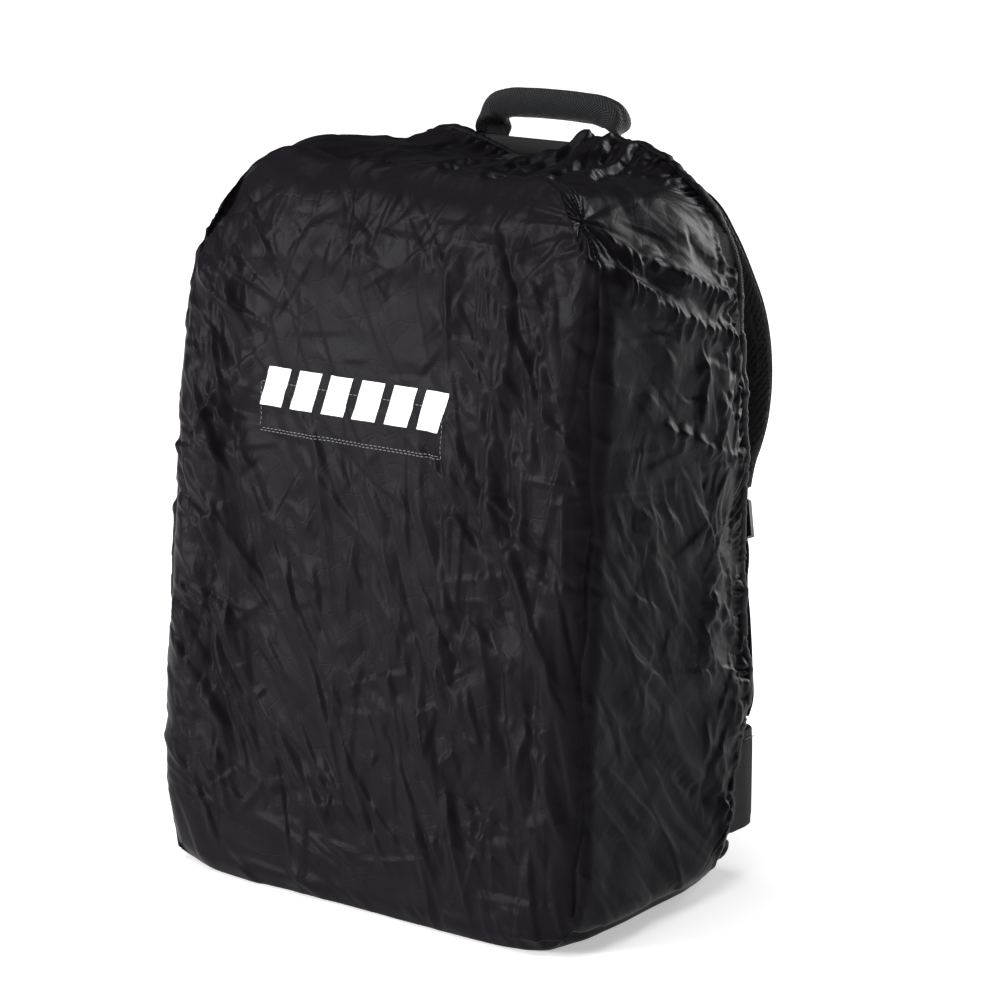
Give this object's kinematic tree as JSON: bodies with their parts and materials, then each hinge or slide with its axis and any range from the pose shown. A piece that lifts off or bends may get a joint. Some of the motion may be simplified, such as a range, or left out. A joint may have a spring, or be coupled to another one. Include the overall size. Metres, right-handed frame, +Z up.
{
  "type": "daypack in rain cover",
  "caption": "Black daypack wearing a crumpled elasticated rain cover, with a top carry handle, padded shoulder straps and a rear-opening panel.",
  "frame": {"origin": "on the ground plane, under the middle of the pack's base", "axes": "+Z up, +X to the wearer's right, -Y out of the front, +Y towards the wearer"},
  "size_m": [0.3244, 0.2611, 0.4795],
  "materials": {
    "cover_cloth": "coated nylon taffeta, semi-gloss",
    "pack_cloth": "matt woven polyester",
    "air_mesh": "spacer mesh",
    "foam": "closed-cell foam",
    "foam_board": "brushed laminate over foam",
    "board": "polyethylene sheet",
    "lining": "lining cloth",
    "webbing": "herringbone webbing",
    "zip_tape": "zip tape with coil",
    "zip_metal": "black painted zinc",
    "moulded_plastic": "fine moulded texture",
    "elastic": "braided elastic",
    "reflective": "silver-white reflective print"
  },
  "bodies": {
    "bag": {"base_board": "board", "base_wall": "pack_cloth", "divider_post": "foam_board", "divider_shelf_lower": "foam_board", "divider_shelf_upper": "foam_board", "front_pocket": "pack_cloth", "front_pocket_zip": "zip_tape", "front_wall": "pack_cloth", "handle_tabs": "webbing", "main_zip": "zip_tape", "panel_hinge_roll": "pack_cloth", "rear_rim": "pack_cloth", "rear_yoke": "pack_cloth", "side_wall_left": "pack_cloth", "side_wall_right": "pack_cloth", "top_wall": "pack_cloth"},
    "rain_cover": {"cover_base": "cover_cloth", "cover_elastic": "elastic", "cover_front": "cover_cloth", "cover_hem": "cover_cloth", "cover_left": "cover_cloth", "cover_patch": "cover_cloth", "cover_right": "cover_cloth", "cover_top": "cover_cloth", "reflective_print": "reflective"},
    "pocket_slider": {"front_pocket_slider": "zip_metal"},
    "zip_slider": {"main_zip_slider": "zip_metal"},
    "handle": {"handle_webbing": "webbing", "handle_grip": "webbing"},
    "access_panel": {"panel_lining": "lining", "frame_sheet": "board", "panel_face": "pack_cloth", "back_pad_left": "air_mesh", "back_pad_right": "air_mesh", "lumbar_pad": "air_mesh", "lumbar_wing_left": "pack_cloth", "lumbar_wing_right": "pack_cloth", "strap_anchors": "webbing"},
    "strap_left": {"strap_mesh_left": "air_mesh", "strap_foam_left": "foam", "strap_face_left": "air_mesh", "strap_rail_left": "moulded_plastic", "lower_webbing_left": "webbing"},
    "lock_left": {"ladder_lock_left": "moulded_plastic"},
    "chest_slider_left": {"sternum_slider_left": "moulded_plastic"},
    "chest_half_left": {"sternum_webbing_left": "webbing", "sternum_buckle_left": "moulded_plastic"},
    "strap_right": {"strap_mesh_right": "air_mesh", "strap_foam_right": "foam", "strap_face_right": "air_mesh", "strap_rail_right": "moulded_plastic", "lower_webbing_right": "webbing"},
    "lock_right": {"ladder_lock_right": "moulded_plastic"},
    "chest_slider_right": {"sternum_slider_right": "moulded_plastic"},
    "chest_half_right": {"sternum_webbing_right": "webbing", "sternum_buckle_right": "moulded_plastic"}
  },
  "joints": [
    {"name": "cover_off", "type": "slide", "parent": "bag", "child": "rain_cover", "axis": [0, -1, 0], "range_m": [0, 0.26]},
    {"name": "pocket_zip_travel", "type": "slide", "parent": "bag", "child": "pocket_slider", "axis": [0, 0.0807, 0.9967], "range_m": [0, 0.14]},
    {"name": "main_zip_travel", "type": "slide", "parent": "bag", "child": "zip_slider", "axis": [0.0131, 0, 0.9999], "range_m": [0, 0.215]},
    {"name": "handle_swing", "type": "hinge", "parent": "bag", "child": "handle", "pos_m": [0, 0.102, 0.444], "axis": [-1, 0, 0], "range_deg": [0, 60]},
    {"name": "panel_open", "type": "hinge", "parent": "bag", "child": "access_panel", "pos_m": [0, 0.095, 0.027], "axis": [-1, 0, 0], "range_deg": [0, 70]},
    {"name": "strap_swing_left", "type": "hinge", "parent": "access_panel", "child": "strap_left", "pos_m": [-0.077, 0.107, 0.419], "axis": [0.189, 0, 0.982], "range_deg": [-10, 10]},
    {"name": "lock_tilt_left", "type": "hinge", "parent": "strap_left", "child": "lock_left", "pos_m": [-0.11968, 0.12225, 0.22507], "axis": [0.9264, -0.1684, -0.3369], "range_deg": [0, 30]},
    {"name": "chest_height_left", "type": "slide", "parent": "strap_left", "child": "chest_slider_left", "axis": [0.0665, -0.0332, 0.9972], "range_m": [-0.018, 0.018]},
    {"name": "chest_swing_left", "type": "hinge", "parent": "chest_slider_left", "child": "chest_half_left", "pos_m": [-0.08055, 0.15554, 0.31415], "axis": [0.0665, -0.0332, 0.9972], "range_deg": [0, 75]},
    {"name": "strap_swing_right", "type": "hinge", "parent": "access_panel", "child": "strap_right", "pos_m": [0.077, 0.107, 0.419], "axis": [0.189, 0, -0.982], "range_deg": [-10, 10]},
    {"name": "lock_tilt_right", "type": "hinge", "parent": "strap_right", "child": "lock_right", "pos_m": [0.11968, 0.12225, 0.22507], "axis": [0.9264, 0.1684, 0.3369], "range_deg": [0, 30]},
    {"name": "chest_height_right", "type": "slide", "parent": "strap_right", "child": "chest_slider_right", "axis": [-0.0665, -0.0332, 0.9972], "range_m": [-0.018, 0.018]},
    {"name": "chest_swing_right", "type": "hinge", "parent": "chest_slider_right", "child": "chest_half_right", "pos_m": [0.08055, 0.15554, 0.31415], "axis": [0.0665, 0.0332, -0.9972], "range_deg": [0, 75]}
  ]
}
